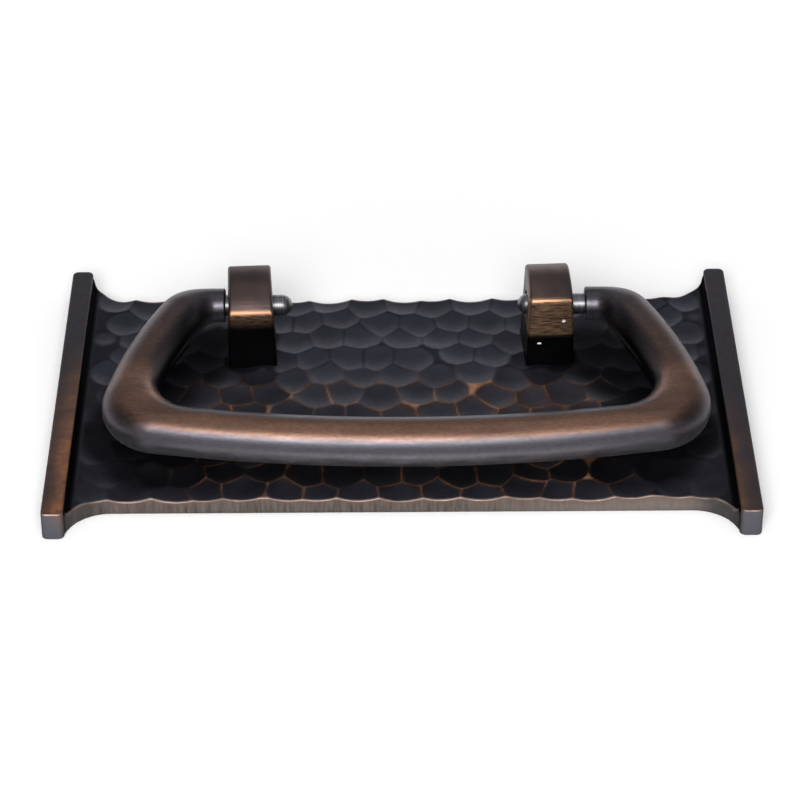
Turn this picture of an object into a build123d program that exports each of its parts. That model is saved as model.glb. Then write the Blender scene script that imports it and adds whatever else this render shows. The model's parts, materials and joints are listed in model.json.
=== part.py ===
from build123d import *
import math
import os
import random

# Bail pull on a hammered backplate. The plate lies on its flat back: the back is Z = 0, the length
# runs along X, the pull direction is +Z, and the bail hangs towards -Y. Lengths in mm, angles in degrees.

# Backplate casting
field_width = 72.4       # hammered field, along Y
field_thickness = 4.0    # measured over the ridges between the hammer marks
side_room = 4.9          # from the widest point of the centred bail to an end rail
rail_width = 4.5
rail_rise = 2.2          # rail top above the field
rail_overhang = 8.0      # rail end past the field's long edge
rail_corner = 1.2        # rounding of the rail ends, seen from above
rail_edge = 0.4          # softened top edges of the rails
rail_foot = 1.4          # hollow fillet where a rail meets the field
cove_radius = 9.2        # hollow curve from the field's long edge out to a rail end

# Hammer marks: shallow ball-faced blows in staggered rows, scattered by hand
dimple_pitch = 7.8
dimple_radius = 12.0     # radius of the hammer's ball face
dimple_depth = 1.15
dimple_spread = 0.15     # most that a blow's depth differs from that
dimple_scatter = 1.7     # most that a blow strays from its place, along X and along Y
dimple_seed = 11
smooth_strip = 1.2       # bare strip between a rail and the first hammer marks
light_mark = 1.8         # beside that strip the blows are lighter, down to marks of this radius

# Posts: drafted blocks with a crowned top, let into the field and staked through the plate
post_spacing = 64.0      # between the two screw holes
post_offset = 18.6       # from the plate's centre line to the line of the posts
post_width = 10.4        # along X, at the foot
post_depth = 14.0        # along Y, at the foot
post_draft = 2.0
post_turn = 3.0          # both posts sit turned a little on their spigots
back_shoulder = 6.2      # heights above the pin axis, where the crown meets the back face
left_shoulder = 2.0      # and where it meets the front face, ground lower on the left post
right_shoulder = 4.9
post_crown = 2.0         # rise of the crown above the line between its shoulders
post_edge = 0.6
seat_margin = 0.2        # the seat is this much deeper than the deepest hammer mark
seat_clearance = 0.1
spigot_radius = 3.6
spigot_clearance = 0.04
stake_flare = 0.9        # staked head, spread into a countersink in the back
stake_height = 0.9
screw_radius = 1.65      # tapped for a 4 mm screw from behind
screw_depth = 8.5

# Pivots: plain pins with a domed inner end, fixed in the bail and loose in the posts
pivot_height = 10.1      # pin axis above the field
pin_radius = 2.25
bore_clearance = 0.9     # on the diameter
pin_running = 0.05       # the pins lie this close to the bottom of their bores
pin_reach = 3.0          # domed end past the post, when the bail is centred
pin_seat = 5.0           # length inside the bail
pin_press = 0.015        # radial room in the bail's socket

# Bail: a cast loop, thinner at its two ends
bail_reach = 43.5        # from the pin axis to the middle of the grip
bail_rest_gap = 0.3      # room left under the grip where it lies on the field
end_gap = 1.75           # from a bail end to its post, when the bail is centred
close_gap = 0.55         # what is left of it on the left, as the loose bail lies to the right
grip_radius = 5.1
end_wall = 1.4           # round the pin
end_rim = 0.4
end_straight = 1.9
arm_splay = 29.6         # at the shoulder
shoulder_radius = 8.5    # bends and long curves, measured on the centre line
arm_bow = 91.0
grip_bow = 307.0
corner_radius = 6.7
inner_corner = 8.3       # inside the loop the corners are filled out to this radius
corner_flat = 0.05       # the filling lies this much below the top of the bar

# Places that follow from the sizes above
rail_length = field_width + 2 * rail_overhang
rail_height = field_thickness + rail_rise
pivot_z = field_thickness + pivot_height
deepest_mark = dimple_depth + dimple_spread
seat_z = field_thickness - deepest_mark - seat_margin
bore_radius = pin_radius + bore_clearance / 2
bore_z = pivot_z + bore_clearance / 2 - pin_running
draft_slope = math.tan(math.radians(post_draft))
post_half_at_pin = post_width / 2 - (pivot_z - seat_z) * draft_slope
end_radius = pin_radius + end_wall
bail_end = post_spacing / 2 + post_half_at_pin + end_gap
bail_shift = end_gap - close_gap
rest_tilt = math.degrees(math.asin((pivot_height - bail_rest_gap - grip_radius) / bail_reach))
sides = {"left": -1, "right": 1}
standing = (Align.CENTER, Align.CENTER, Align.MIN)


def inside_bend(radius):
    """A bend of the bar that touches the long curves of the right arm and the grip from inside.

    Gives its centre, and the angles at which it leaves the arm's curve and joins the grip's.
    """
    outward = Vector(1, 0).rotate(Axis.Z, arm_splay)
    arm_centre = Vector(bail_end + end_straight, -shoulder_radius) - outward * (arm_bow - shoulder_radius)
    grip_centre = Vector(0, grip_bow - bail_reach)
    apart = grip_centre - arm_centre
    to_arm = arm_bow - radius
    to_grip = grip_bow - radius
    along = (to_arm**2 - to_grip**2 + apart.length**2) / (2 * apart.length)
    across = math.sqrt(to_arm**2 - along**2)
    unit = apart.normalized()
    centre = arm_centre + unit * along + unit.rotate(Axis.Z, -90) * across
    leaves = centre - arm_centre
    joins = centre - grip_centre
    return centre, math.degrees(math.atan2(leaves.Y, leaves.X)), math.degrees(math.atan2(joins.Y, joins.X))


def bail_bends(radius):
    """Centre lines of the right shoulder, arm and corner, and the grip, for corners of this radius."""
    _, leaves, joins = inside_bend(radius)
    shoulder = JernArc((bail_end + end_straight, 0), (1, 0), shoulder_radius, arm_splay - 90)
    arm = JernArc(shoulder @ 1, shoulder % 1, arm_bow, leaves - arm_splay)
    corner = JernArc(arm @ 1, arm % 1, radius, joins - leaves)
    grip = JernArc(corner @ 1, corner % 1, grip_bow, -2 * (90 + joins))
    return shoulder, arm, corner, grip


bail_half_width = inside_bend(corner_radius)[0].X + corner_radius + grip_radius
rail_inner = bail_half_width + side_room
plate_length = 2 * (rail_inner + rail_width)


def plate_outline():
    """The field with its four flared corners, seen from above."""
    rise = min(rail_overhang - rail_corner, cove_radius)
    run = math.sqrt(cove_radius**2 - (cove_radius - rise) ** 2)
    flare = Pos(rail_inner - run / 2, (field_width + rise) / 2) * Rectangle(run, rise)
    flare -= Pos(rail_inner - run, field_width / 2 + cove_radius) * Circle(cove_radius)
    flares = flare + mirror(flare, Plane.YZ)
    return Rectangle(plate_length - rail_width, field_width) + flares + mirror(flares, Plane.XZ)


def hammer_blows():
    """Place and depth of each blow, in four sets whose marks hardly touch within a set."""
    hand = random.Random(dimple_seed)
    row_step = dimple_pitch * math.sqrt(3) / 2
    rows = round(field_width / row_step)
    columns = math.ceil(rail_inner / dimple_pitch)
    sets = [[], [], [], []]
    for row in range(rows):
        for column in range(-columns, columns + 1):
            x = (column + row % 2 / 2) * dimple_pitch + hand.uniform(-1, 1) * dimple_scatter
            y = (row - (rows - 1) / 2) * row_step + hand.uniform(-1, 1) * dimple_scatter
            depth = dimple_depth + hand.uniform(-1, 1) * dimple_spread
            room = rail_inner - smooth_strip - abs(x)
            most = dimple_radius - math.sqrt(max(dimple_radius**2 - room**2, 0))
            if room >= light_mark:
                sets[2 * (row % 2) + column % 2].append((x, y, min(depth, most)))
    return sets


def hammered_field():
    """The flat casting with a cap of the hammer's ball face cut away at each blow."""
    field = extrude(plate_outline(), field_thickness)
    tall = 1.2 * deepest_mark
    ball = Rot(90, 0, 0) * Sphere(dimple_radius)
    face = ball & Pos(0, 0, -dimple_radius) * Box(2 * dimple_radius, 2 * dimple_radius, 2 * tall)
    for blows in hammer_blows():
        field -= [Pos(x, y, field_thickness - depth + dimple_radius) * face for x, y, depth in blows]
    return field


def right_rail():
    """The right end rail with the hollow fillet at its foot."""
    bar = extrude(RectangleRounded(rail_width, rail_length, rail_corner), rail_height)
    bar = chamfer(bar.faces().sort_by(Axis.Z)[-1].edges(), rail_edge)
    bar = Pos(rail_inner + rail_width / 2, 0, 0) * bar
    foot = min(rail_foot, rail_rise - rail_edge)
    profile = Pos(rail_inner - foot / 2, field_thickness + foot / 2) * Rectangle(foot, foot)
    profile -= Pos(rail_inner - foot, field_thickness + foot) * Circle(foot)
    strip = extrude(Plane.XZ * profile, rail_length / 2, both=True)
    return bar + (strip & extrude(plate_outline(), rail_height))


def post_place(side, z=0.0):
    return Pos(sides[side] * post_spacing / 2, post_offset, z)


def staked_head(neck_radius):
    return Cone(neck_radius + stake_flare, neck_radius, stake_height, align=standing)


def backplate():
    rail = right_rail()
    plate = hammered_field() + rail + mirror(rail, Plane.YZ)
    seat = Rectangle(post_width + 2 * seat_clearance, post_depth + 2 * seat_clearance)
    hole_radius = spigot_radius + spigot_clearance
    for side in sides:
        plate -= post_place(side, seat_z) * Rot(0, 0, post_turn) * extrude(seat, rail_height)
        plate -= post_place(side) * Cylinder(hole_radius, rail_height, align=standing)
        plate -= post_place(side) * staked_head(hole_radius)
    return plate


def post(side, front_shoulder):
    """Block with draft on its four sides, crowned front to back, with spigot, bore and screw hole."""
    foot = seat_z - pivot_z
    half = post_depth / 2
    front = (-half + (front_shoulder - foot) * draft_slope, front_shoulder)
    back = (half - (back_shoulder - foot) * draft_slope, back_shoulder)
    crown = SagittaArc(front, back, post_crown)
    sides_and_foot = Polyline(back, (half, foot), (-half, foot), front)
    block = extrude(Plane.YZ * make_face(crown + sides_and_foot), post_width, both=True)
    half = post_width / 2
    tall = back_shoulder + post_crown + post_width
    inset = (tall - foot) * draft_slope
    flank = Polyline((-half, foot), (half, foot), (half - inset, tall), (inset - half, tall), close=True)
    block &= extrude(Plane.XZ * make_face(flank), post_depth, both=True)
    upper = [edge for edge in block.edges() if edge.bounding_box().max.Z > foot + post_edge]
    body = post_place(side, pivot_z) * Rot(0, 0, post_turn) * chamfer(upper, post_edge)
    body += post_place(side) * Cylinder(spigot_radius, seat_z, align=standing)
    body += post_place(side) * staked_head(spigot_radius)
    body -= post_place(side) * Cylinder(screw_radius, screw_depth, align=standing)
    return body - post_place(side, bore_z) * Rot(0, 90, 0) * Cylinder(bore_radius, 2 * post_width)


def hang(shape):
    """Bring a piece of the bail from its own flat frame to where it lies at rest."""
    return Pos(bail_shift, post_offset, pivot_z) * Rot(rest_tilt, 0, 0) * shape


def corner_filling():
    """Fills the right corner inside the loop: a wider bend of the bar, and a web from it to the tight bend."""
    thin = grip_radius - corner_flat
    wide_radius = inner_corner + grip_radius
    wide = bail_bends(wide_radius)[2]
    bend = sweep(Plane(wide @ 0, z_dir=wide % 0) * Circle(thin), path=wide)
    _, early, late = inside_bend(wide_radius)
    _, leaves, joins = inside_bend(corner_radius)
    arm_part = JernArc(wide @ 0, wide % 0, arm_bow, leaves - early)
    tight = JernArc(arm_part @ 1, arm_part % 1, corner_radius, joins - leaves)
    grip_part = JernArc(tight @ 1, tight % 1, grip_bow, late - joins)
    web = make_face([curve.edge() for curve in (arm_part, tight, grip_part, wide)])
    return bend + extrude(web, thin, both=True)


def bail():
    shoulder, arm, corner, grip = bail_bends(corner_radius)
    left = [mirror(curve, Plane.YZ) for curve in (corner, arm)]
    path = Wire([curve.edge() for curve in (arm, corner, grip, *left)])
    loop = sweep(Plane(arm @ 0, z_dir=arm % 0) * Circle(grip_radius), path=path)
    sections = []
    for u in (0, 0.5, 1):
        swell = u * u * (3 - 2 * u)
        radius = end_radius + (grip_radius - end_radius) * swell
        sections.append(Plane(shoulder @ u, z_dir=shoulder % u) * Circle(radius))
    end = Cylinder(end_radius, end_straight, align=standing)
    end = chamfer(end.faces().sort_by(Axis.Z)[0].edges(), end_rim)
    half = loft(sections) + Pos(bail_end, 0, 0) * Rot(0, 90, 0) * end
    filling = corner_filling()
    for piece in (half, filling):
        loop = loop + piece + mirror(piece, Plane.YZ)
    socket = Cylinder(pin_radius + pin_press, pin_seat, align=standing)
    socket = Pos(bail_end, 0, 0) * Rot(0, 90, 0) * socket
    return hang(loop - socket - mirror(socket, Plane.YZ))


def pivot_pin(side):
    """A straight shank bottomed in the bail's end, with a hemispherical tip past the post."""
    length = pin_seat + end_gap + 2 * post_half_at_pin + pin_reach
    pin = Cylinder(pin_radius, length - pin_radius, align=standing)
    pin += Pos(0, 0, length - pin_radius) * Sphere(pin_radius)
    pin = Pos(bail_end + pin_seat, 0, 0) * Rot(0, -90, 0) * pin
    if side == "left":
        pin = mirror(pin, Plane.YZ)
    return hang(pin)


nodes = {
    "backplate": backplate(),
    "post_left": post("left", left_shoulder),
    "post_right": post("right", right_shoulder),
    "bail": bail(),
    "pivot_pin_left": pivot_pin("left"),
    "pivot_pin_right": pivot_pin("right"),
}

os.makedirs("parts", exist_ok=True)
for name, shape in nodes.items():
    export_step(shape, f"parts/{name}.step")
    size = shape.bounding_box().size
    print(f"{name}: {shape.volume / 1000:.2f} cm3, {size.X:.1f} x {size.Y:.1f} x {size.Z:.1f} mm")
print(f"plate {plate_length:.2f} x {rail_length:.2f}; bail half width {bail_half_width:.3f}")
print(f"pin axis at Y {post_offset:.2f}, Z {pivot_z:.2f}; bail lies {rest_tilt:.2f} degrees below level")
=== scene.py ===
# %% [markdown]
# This is a drop pull for a drawer: a hammered bronze plate, two posts, and a thick bail that swings on
# two steel pins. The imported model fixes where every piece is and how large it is. This lesson gives each
# piece its finish, and a finer mesh where light on a curved surface would show the facets. The box of
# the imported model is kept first, because the dressed pull has to stay inside it.

# %% Load the frame
import json
import math
import random

import bmesh
import bpy
import numpy as np
from mathutils import Matrix, Vector


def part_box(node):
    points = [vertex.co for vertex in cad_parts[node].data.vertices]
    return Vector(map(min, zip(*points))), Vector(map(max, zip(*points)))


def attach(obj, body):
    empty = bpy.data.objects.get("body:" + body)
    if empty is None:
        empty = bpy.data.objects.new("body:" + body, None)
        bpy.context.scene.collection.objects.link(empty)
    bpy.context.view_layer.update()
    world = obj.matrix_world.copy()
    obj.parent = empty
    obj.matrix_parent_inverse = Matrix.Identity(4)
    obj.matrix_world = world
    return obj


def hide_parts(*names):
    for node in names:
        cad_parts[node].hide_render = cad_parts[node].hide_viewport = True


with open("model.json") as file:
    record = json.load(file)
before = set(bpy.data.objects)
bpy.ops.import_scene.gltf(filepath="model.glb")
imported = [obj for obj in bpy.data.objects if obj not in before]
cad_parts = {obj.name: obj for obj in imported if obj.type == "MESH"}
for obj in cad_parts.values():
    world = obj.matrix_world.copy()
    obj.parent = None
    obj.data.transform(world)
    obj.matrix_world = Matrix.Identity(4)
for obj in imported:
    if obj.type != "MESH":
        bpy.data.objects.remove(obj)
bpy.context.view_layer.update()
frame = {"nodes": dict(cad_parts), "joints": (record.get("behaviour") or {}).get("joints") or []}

mm = 0.001

# %% [markdown]
# The picture is taken with a long lens from in front and above, so the rails at the two ends lean apart
# only a little. A camera can be aimed with a constraint, but three plain angles are easier to read:
# the height it looks down from, a trace of turn to the side, and almost no roll.

# %% Camera
image_side = 800
focal_pixels = 3100.0
sensor_width = 36.0
look_down = math.radians(35.746)
look_aside = math.radians(-0.484)
camera_roll = math.radians(-0.048)
aim = Vector((-0.038, 3.030, 0.0)) * mm
camera_distance = 662.1 * mm

camera_data = bpy.data.cameras.new("camera")
camera_data.sensor_width = sensor_width
camera_data.lens = focal_pixels / image_side * sensor_width
camera = bpy.data.objects.new("camera", camera_data)
bpy.context.scene.collection.objects.link(camera)
turn = Matrix.Rotation(look_aside, 4, "Z") @ Matrix.Rotation(math.pi / 2 - look_down, 4, "X")
turn = turn @ Matrix.Rotation(camera_roll, 4, "Z")
camera.matrix_world = Matrix.Translation(aim + turn.to_3x3() @ Vector((0, 0, camera_distance))) @ turn
bpy.context.scene.camera = camera
print("camera at, mm:", [round(v / mm) for v in camera.matrix_world.translation])

# %% [markdown]
# Dark metal shows its surroundings more than its own colour. The room here is a white studio, bright near
# the floor and dimmer towards the ceiling and towards the camera. The dim ceiling keeps the flat of the
# plate dark. A picture of a studio could be wrapped round the pull, but two ramps over the direction are
# easier to tune. Camera, glossy and transmitted rays all see this backdrop. The first helpers here put
# the wiring of nodes in words.

# %% Studio room
bpy.context.scene.view_settings.view_transform = "Standard"
room_light = 0.42
floor_to_ceiling = [(0.0, 1.0), (0.15, 0.95), (0.4, 0.5), (0.65, 0.28), (1.0, 0.2)]
side_to_back = [(0.0, 0.25), (0.6, 1.0)]


def empty_tree(owner):
    """The node tree of a world or a material, with nothing in it."""
    owner.use_nodes = True
    owner.node_tree.nodes.clear()
    return owner.node_tree


def add(tree, kind, inputs=None, **settings):
    """A shader node with its settings, and its inputs as numbers, colours or other nodes' outputs."""
    made = tree.nodes.new("ShaderNode" + kind)
    for name, value in settings.items():
        setattr(made, name, value)
    for name, value in (inputs or {}).items():
        if isinstance(value, bpy.types.NodeSocket):
            tree.links.new(value, made.inputs[name])
        else:
            made.inputs[name].default_value = value
    return made


def sums(tree, operation, *values):
    """Chain a two-sided maths node over several values."""
    total = values[0]
    for value in values[1:]:
        total = add(tree, "Math", {0: total, 1: value}, operation=operation).outputs[0]
    return total


def ramp(tree, value, stops):
    """A grey that follows a value through (place, brightness) stops."""
    node = add(tree, "ValToRGB", {0: value})
    while len(node.color_ramp.elements) < len(stops):
        node.color_ramp.elements.new(0.5)
    for element, (place, grey) in zip(node.color_ramp.elements, stops):
        element.position = place
        element.color = (grey, grey, grey, 1.0)
    return node.outputs[0]


def seen_directly(tree):
    """1 for rays that show the room as a picture: straight to the camera, mirrored or refracted."""
    rays = add(tree, "LightPath").outputs
    return sums(tree, "MAXIMUM", rays["Is Camera Ray"], rays["Is Glossy Ray"], rays["Is Transmission Ray"])


world = bpy.data.worlds.new("studio")
tree = empty_tree(world)
bpy.context.scene.world = world
axes = add(tree, "SeparateXYZ", {0: add(tree, "TexCoord").outputs["Generated"]})
by_height = ramp(tree, axes.outputs["Z"], floor_to_ceiling)
by_depth = ramp(tree, axes.outputs["Y"], side_to_back)
backdrop = add(tree, "VectorMath", {0: by_height, 1: by_depth}, operation="MULTIPLY")
picture = add(tree, "Background", {"Color": backdrop.outputs[0]})
ambient = add(tree, "Background", {"Strength": room_light})
room = add(tree, "MixShader", {0: seen_directly(tree), 1: ambient.outputs[0], 2: picture.outputs[0]})
add(tree, "OutputWorld", {"Surface": room.outputs[0]})
print("room light", room_light)

# %% [markdown]
# The floor is a plain white sheet under the pull. Stronger lamps would whiten it too, but they would also
# bleach the metal. So a glow that shows only in direct and mirrored views lifts it: a little close to the
# pull, where its real light and the soft shadow count, and more further out, where the lamps reach less.

# %% Floor
floor_half = 3.0
floor_drop = 0.05 * mm
paper_white = (0.9, 0.9, 0.9, 1)
floor_glow = [(0.02, 0.10), (0.06, 0.20), (0.09, 0.38), (0.35, 0.62), (1.0, 0.80)]

bpy.ops.mesh.primitive_plane_add(size=2 * floor_half, location=(0, 0, -floor_drop))
floor = bpy.context.object
floor.name = "floor"
paper = bpy.data.materials.new("white_paper")
tree = empty_tree(paper)
sheet = add(tree, "BsdfDiffuse", {"Color": paper_white})
far = add(tree, "VectorMath", {0: add(tree, "TexCoord").outputs["Object"]}, operation="LENGTH")
lift = ramp(tree, sums(tree, "DIVIDE", far.outputs["Value"], floor_half), floor_glow)
glow = add(tree, "Emission", {"Strength": sums(tree, "MULTIPLY", seen_directly(tree), lift)})
both = add(tree, "AddShader", {0: sheet.outputs[0], 1: glow.outputs[0]})
add(tree, "OutputMaterial", {"Surface": both.outputs[0]})
floor.data.materials.append(paper)
print("floor:", 2 * floor_half, "m wide")

# %% [markdown]
# Three soft lamps light the pull. The box in front, behind the camera, draws the long pale line along the
# grip. A weak one overhead fills the shadows, and a low card behind gives the hammered field its sheen.
# Point lamps would be simpler, but they leave a hard spark in every hammer mark.

# %% Lamps
def soft_lamp(name, place, width, depth, watts):
    """A rectangular lamp that faces the middle of the pull."""
    data = bpy.data.lights.new(name, "AREA")
    data.shape = "RECTANGLE"
    data.size = width
    data.size_y = depth
    data.energy = watts
    lamp = bpy.data.objects.new(name, data)
    lamp.location = place
    lamp.rotation_euler = (-Vector(place)).to_track_quat("-Z", "Y").to_euler()
    bpy.context.scene.collection.objects.link(lamp)


soft_lamp("front_softbox", (-0.08, -0.86, 0.62), width=0.60, depth=0.40, watts=11.5)
soft_lamp("ceiling_softbox", (0.0, 0.1, 1.4), width=1.2, depth=1.2, watts=2.6)
soft_lamp("back_card", (0.0, 0.26, 0.072), width=0.95, depth=0.11, watts=0.22)

# %% [markdown]
# The plate is one casting with ball marks hammered into it. A bump map could draw the marks, but then
# the front edge would stay straight, and on the real plate every mark that reaches the edge leaves a
# scallop there. So the marks are real hollows: each blow of the hammer removes the cap of a ball. The
# blows come from the same seeded hand as the casting's, row by row, and lighter beside the rails.

# %% Hammer blows
plate_low, plate_high = (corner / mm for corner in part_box("backplate"))
plate_length = plate_high.x - plate_low.x
rail_length = plate_high.y - plate_low.y
rail_height = plate_high.z
rail_width = 4.5
rail_rise = 2.2
rail_overhang = 8.0
rail_inner = plate_length / 2 - rail_width
field_width = rail_length - 2 * rail_overhang
field_top = rail_height - rail_rise

mark_pitch = 7.8
hammer_radius = 12.0
mark_depth = 1.15
mark_spread = 0.15
mark_scatter = 1.7
mark_seed = 11
smooth_strip = 1.2
light_mark = 1.8


def hammer_blows():
    """Each blow's place and depth."""
    hand = random.Random(mark_seed)
    row_step = mark_pitch * math.sqrt(3) / 2
    rows = round(field_width / row_step)
    columns = math.ceil(rail_inner / mark_pitch)
    blows = []
    for row in range(rows):
        for column in range(-columns, columns + 1):
            x = (column + row % 2 / 2) * mark_pitch + hand.uniform(-1, 1) * mark_scatter
            y = (row - (rows - 1) / 2) * row_step + hand.uniform(-1, 1) * mark_scatter
            depth = mark_depth + hand.uniform(-1, 1) * mark_spread
            room = rail_inner - smooth_strip - abs(x)
            most = hammer_radius - math.sqrt(max(hammer_radius**2 - room**2, 0))
            if room >= light_mark:
                blows.append((x, y, min(depth, most)))
    return blows


blows = hammer_blows()
print("hammer blows:", len(blows))

# %% [markdown]
# The struck face is, at every place, the lowest of all the balls. Where two balls are level there is a
# ridge, so the step up to the next ball tells how near a ridge is. Real ridges are a little blunt, and
# these are too. A ridge is thinner than the steps of the mesh and would come out jagged, so what is read
# off the face is averaged over nine close places.

# %% Struck face
ridge_round = 0.22
land_margin = 0.02


def struck(x, y):
    """Height of the hammered face at arrays of places, and how far below the next mark it lies."""
    lowest = np.full(x.shape, field_top)
    second = np.full(x.shape, field_top + mark_depth)
    near = [b for b in blows if x.min() - mark_pitch < b[0] < x.max() + mark_pitch]
    for bx, by, depth in near:
        away = (x - bx) ** 2 + (y - by) ** 2
        ball = field_top - depth + hammer_radius - np.sqrt(np.maximum(hammer_radius**2 - away, 0))
        second = np.where(ball < lowest, lowest, np.minimum(second, ball))
        lowest = np.minimum(lowest, ball)
    apart = second - lowest
    blend = np.maximum(ridge_round - apart, 0) / ridge_round
    return lowest - blend**2 * ridge_round / 4, np.where(lowest > field_top - land_margin, 0, apart)


def around(x, y, reach, made):
    """Mean of what made gives for nine places round each point."""
    offsets = [(i * reach / 3, j * reach / 3) for i in (-1, 0, 1) for j in (-1, 0, 1)]
    return sum(made(x + i, y + j) for i, j in offsets) / len(offsets)


middle = struck(np.zeros(1), np.zeros(1))[0]
print("face at the middle, mm:", round(float(middle[0]), 2))

# %% [markdown]
# The field is made like a loaf cut in slices: one closed cross-section for each step along the length,
# with the hammered face on top, rounded rims, walls and the flat back. Slices can follow the hollow coves
# at the four corners, which a square grid would cut into stairs.

# %% Slices of the field
rail_corner = 1.2
rail_foot = 1.4
cove_radius = 9.2
slice_step = 0.36
rows_on_face = 200
rim_round = 0.30
rim_steps = 3
back_round = 0.20
wall_rows = 4
lean_power = 8
flush = 1e-6


def half_depth(x):
    """Half the field's depth at a slice, and its slope along the length."""
    rise = min(rail_overhang - rail_corner, cove_radius)
    run = math.sqrt(cove_radius**2 - (cove_radius - rise) ** 2)
    along = min(abs(x), rail_inner) - (rail_inner - run)
    if along <= 0:
        return field_width / 2, 0.0
    drop = math.sqrt(cove_radius**2 - along**2)
    return field_width / 2 + cove_radius - drop, math.copysign(along / drop, x)


def foot_height(x):
    """The hollow fillet at a rail's foot."""
    into = np.clip(np.abs(x) - (rail_inner - rail_foot), 0, rail_foot)
    return field_top + rail_foot - np.sqrt(rail_foot**2 - into**2)


def face_height(x, y):
    height = around(x, y, slice_step, lambda u, v: struck(u, v)[0])
    foot = foot_height(x)
    return np.where(foot > field_top + flush, np.maximum(height, foot), height)


def z_at(face_z, dip, share):
    """Height on a wall: the rim's dip below the face, shrinking to the rounded foot of the wall."""
    return back_round + (face_z + dip - back_round) * share


def slice_points(x):
    """One closed cross-section, from the front rim over the face and back along the underside."""
    half, slope = half_depth(x)
    lean = math.sqrt(1 + slope**2)
    out = np.array([-slope / lean, 1 / lean])
    rim = np.array([x, half]) - out * rim_round
    y = np.linspace(-rim[1], rim[1], rows_on_face)
    edge = np.abs(y) / rim[1]
    xs = x + (rim[0] - x) * edge**lean_power
    z = face_height(xs, y)
    wall = []
    for step in range(1, rim_steps + 1):
        angle = math.pi / 2 * step / rim_steps
        wall.append((rim_round * math.sin(angle), -rim_round * (1 - math.cos(angle)), 1.0))
    for row in range(1, wall_rows + 1):
        wall.append((rim_round, -rim_round, 1 - row / wall_rows))
    back, front = [], []
    for offset, dip, share in wall:
        px = x + offset * out[0] - out[0] * rim_round
        py = rim[1] + offset * out[1]
        back.append((px, py, z_at(z[-1], dip, share)))
        front.append((px, -py, z_at(z[0], dip, share)))
    tuck = (x - out[0] * back_round, half - out[1] * back_round, 0.0)
    return [*zip(xs, y, z), *back, tuck, (tuck[0], -tuck[1], 0.0), *front[::-1]]


slice_end = rail_inner + rail_width / 2
slices = 2 * round(slice_end / slice_step) + 1
loops = [slice_points(x) for x in np.linspace(-slice_end, slice_end, slices)]
ring = len(loops[0])
print("slices:", slices, "of", ring, "points")

# %% [markdown]
# The slices become one closed mesh: a quad between each pair of neighbouring points, and a lid on each
# end. Blender's bridge tool could join the loops, but counting round the rings needs nothing selected,
# and the same helper skins the holes and the bail later.

# %% Field of the plate
def bridged(rings, size):
    """Quads between rings of points that follow each other in one list, and a lid on each end."""
    faces = []
    for level in range(rings - 1):
        for k in range(size):
            a, b = level * size + k, level * size + (k + 1) % size
            faces.append((a, b, b + size, a + size))
    faces.append(tuple(range(size)))
    faces.append(tuple((rings - 1) * size + k for k in range(size)))
    return faces


def shell(points, faces):
    """A bmesh of points and faces, with every face turned outwards."""
    work = bmesh.new()
    corners = [work.verts.new(tuple(p)) for p in points]
    for face in faces:
        work.faces.new([corners[k] for k in face])
    bmesh.ops.recalc_face_normals(work, faces=work.faces)
    return work


def piece_from(work, name, place=Matrix()):
    """A piece or a tool from a bmesh, which is moved to its place in metres and used up."""
    bmesh.ops.transform(work, matrix=place, verts=work.verts)
    bmesh.ops.recalc_face_normals(work, faces=work.faces)
    mesh = bpy.data.meshes.new(name)
    work.to_mesh(mesh)
    work.free()
    made = bpy.data.objects.new(name, mesh)
    bpy.context.scene.collection.objects.link(made)
    return made


field = shell(np.array(loops).reshape(-1, 3) * mm, bridged(slices, ring))
plate = piece_from(field, "hammered_plate")
print("field:", len(plate.data.polygons), "faces")

# %% [markdown]
# The end rails are bars with rounded ends and softened edges. On the real plate they are cast in one
# with the field, so here they are bevelled boxes that are fused to it. They are scored across at even
# steps, because wear is kept with the points of a mesh and can only change where there are points.

# %% Rails
rail_edge = 0.4
bevel_steps = 5
score_step = 1.5
rail_scores = (0.2, 0.4, 0.6, 0.8)
level_within = 1e-4
weld = 0.002 * mm


def solid_of(piece):
    """Replace a piece's mesh by what its modifiers make of it, with points that coincide welded."""
    made = bpy.data.meshes.new_from_object(piece.evaluated_get(bpy.context.evaluated_depsgraph_get()))
    work = bmesh.new()
    work.from_mesh(made)
    bmesh.ops.remove_doubles(work, verts=work.verts, dist=weld)
    bmesh.ops.dissolve_degenerate(work, edges=work.edges, dist=weld)
    work.to_mesh(made)
    work.free()
    piece.modifiers.clear()
    piece.data = made


def joined(piece, operation, tools):
    """Add or cut away closed tool meshes, which are used up."""
    for tool in tools:
        step = piece.modifiers.new(tool.name, "BOOLEAN")
        step.operation = operation
        step.solver = "EXACT"
        step.object = tool
    solid_of(piece)
    for tool in tools:
        bpy.data.objects.remove(tool)


def scored(work, axis, places):
    """Cut a mesh across at some places, without taking it apart."""
    normal = Vector((axis == "x", axis == "y", axis == "z"))
    for place in places:
        geometry = [*work.verts, *work.edges, *work.faces]
        bmesh.ops.bisect_plane(work, geom=geometry, plane_co=normal * place, plane_no=normal)


def rounded(work, edges, radius):
    """Bevel some edges of a mesh."""
    bmesh.ops.bevel(work, geom=edges, offset=radius, segments=bevel_steps, profile=0.5, affect="EDGES")


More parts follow.
